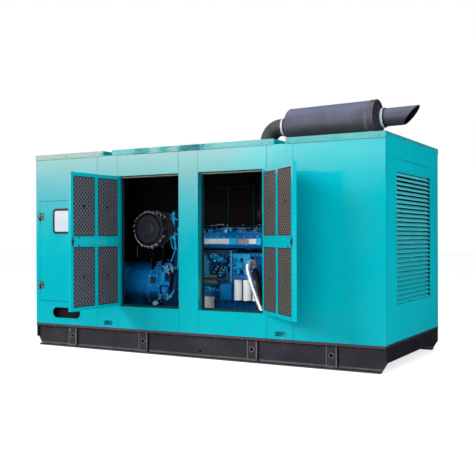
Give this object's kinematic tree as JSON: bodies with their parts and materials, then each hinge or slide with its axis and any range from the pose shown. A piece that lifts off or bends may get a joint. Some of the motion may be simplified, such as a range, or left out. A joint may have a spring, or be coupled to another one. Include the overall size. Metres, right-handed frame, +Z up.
{
  "type": "silenced diesel generator set",
  "caption": "Canopied diesel generator set on a steel skid, with hinged side doors, engine and alternator inside, louvred ends and a roof silencer.",
  "frame": {"origin": "middle of the skid, on the ground", "axes": "+X along the base towards the radiator end and its louvres, -Y the side with the open doors, +Z up"},
  "size_m": [4.8773, 2.935, 3.0086],
  "materials": {
    "canopy_paint": "semi-gloss turquoise paint",
    "skid": "matt dark grey paint, worn bright on edges, rust under the flange",
    "black_metal": "black paint",
    "rubber": "black rubber",
    "window": "pale sheet, slightly glossy",
    "cabinet": "light grey paint",
    "liner": "dark expanded mesh over foam",
    "engine_blue": "gloss blue paint",
    "filter_white": "white paint",
    "bright_steel": "bright metal",
    "drum": "matt black",
    "radiator": "matt black paint",
    "exhaust": "dark grey heat-resistant paint with light rust"
  },
  "bodies": {
    "root": {"skid_beam_front": "skid", "skid_beam_back": "skid", "skid_cross_members": "skid", "skid_end_plates": "skid", "skid_lugs": "skid", "deck_plate": "skid", "control_bay_posts": "canopy_paint", "control_bay_header": "canopy_paint", "control_bay_sill": "canopy_paint", "lifting_column_left": "canopy_paint", "lifting_column_right": "canopy_paint", "centre_column": "canopy_paint", "bay_sills": "canopy_paint", "bay_headers": "canopy_paint", "door_stops": "canopy_paint", "radiator_side_panel": "canopy_paint", "back_panels": "canopy_paint", "back_lifting_columns": "canopy_paint", "back_bay_frames": "canopy_paint", "back_doors": "canopy_paint", "back_door_hinges": "black_metal", "control_end_wall": "canopy_paint", "radiator_end_wall": "canopy_paint", "roof_control_end": "canopy_paint", "roof_middle": "canopy_paint", "roof_radiator_end": "canopy_paint", "roof_channels": "canopy_paint", "door_hinges": "black_metal", "control_cabinet": "cabinet", "engine_rails": "skid", "alternator": "engine_blue", "flywheel_housing": "engine_blue", "engine_block": "engine_blue", "valve_covers": "engine_blue", "intake_manifold": "engine_blue", "exhaust_manifold": "exhaust", "oil_pan": "engine_blue", "filter_heads": "engine_blue", "engine_filters": "filter_white", "silver_pipe": "bright_steel", "riser_pipe": "engine_blue", "air_cleaner": "drum", "air_cleaner_cradle": "black_metal", "radiator": "radiator", "exhaust_elbow": "exhaust", "silencer": "exhaust", "silencer_saddles": "exhaust", "tail_pipe": "exhaust", "pipe_clamps": "bright_steel"},
    "left_door_body": {"left_door": "canopy_paint", "left_door_liners": "liner", "left_door_latch": "black_metal"},
    "right_door_body": {"right_door": "canopy_paint", "right_door_liners": "liner", "right_door_latch": "black_metal"},
    "control_door_body": {"control_door": "canopy_paint", "control_door_lock": "black_metal", "window_gasket": "rubber", "control_window": "window"}
  },
  "joints": [
    {"name": "left_door_hinge", "type": "hinge", "parent": "root", "child": "left_door_body", "pos_m": [-1.044, -1.013, 1.368], "axis": [0, 0, -1], "range_deg": [-90, 60]},
    {"name": "right_door_hinge", "type": "hinge", "parent": "root", "child": "right_door_body", "pos_m": [1.04, -1.013, 1.368], "axis": [0, 0, 1], "range_deg": [-137.5, 12.5]},
    {"name": "control_door_hinge", "type": "hinge", "parent": "root", "child": "control_door_body", "pos_m": [-2.327, -1.016, 1.2385], "axis": [0, 0, -1], "range_deg": [0, 110]}
  ]
}
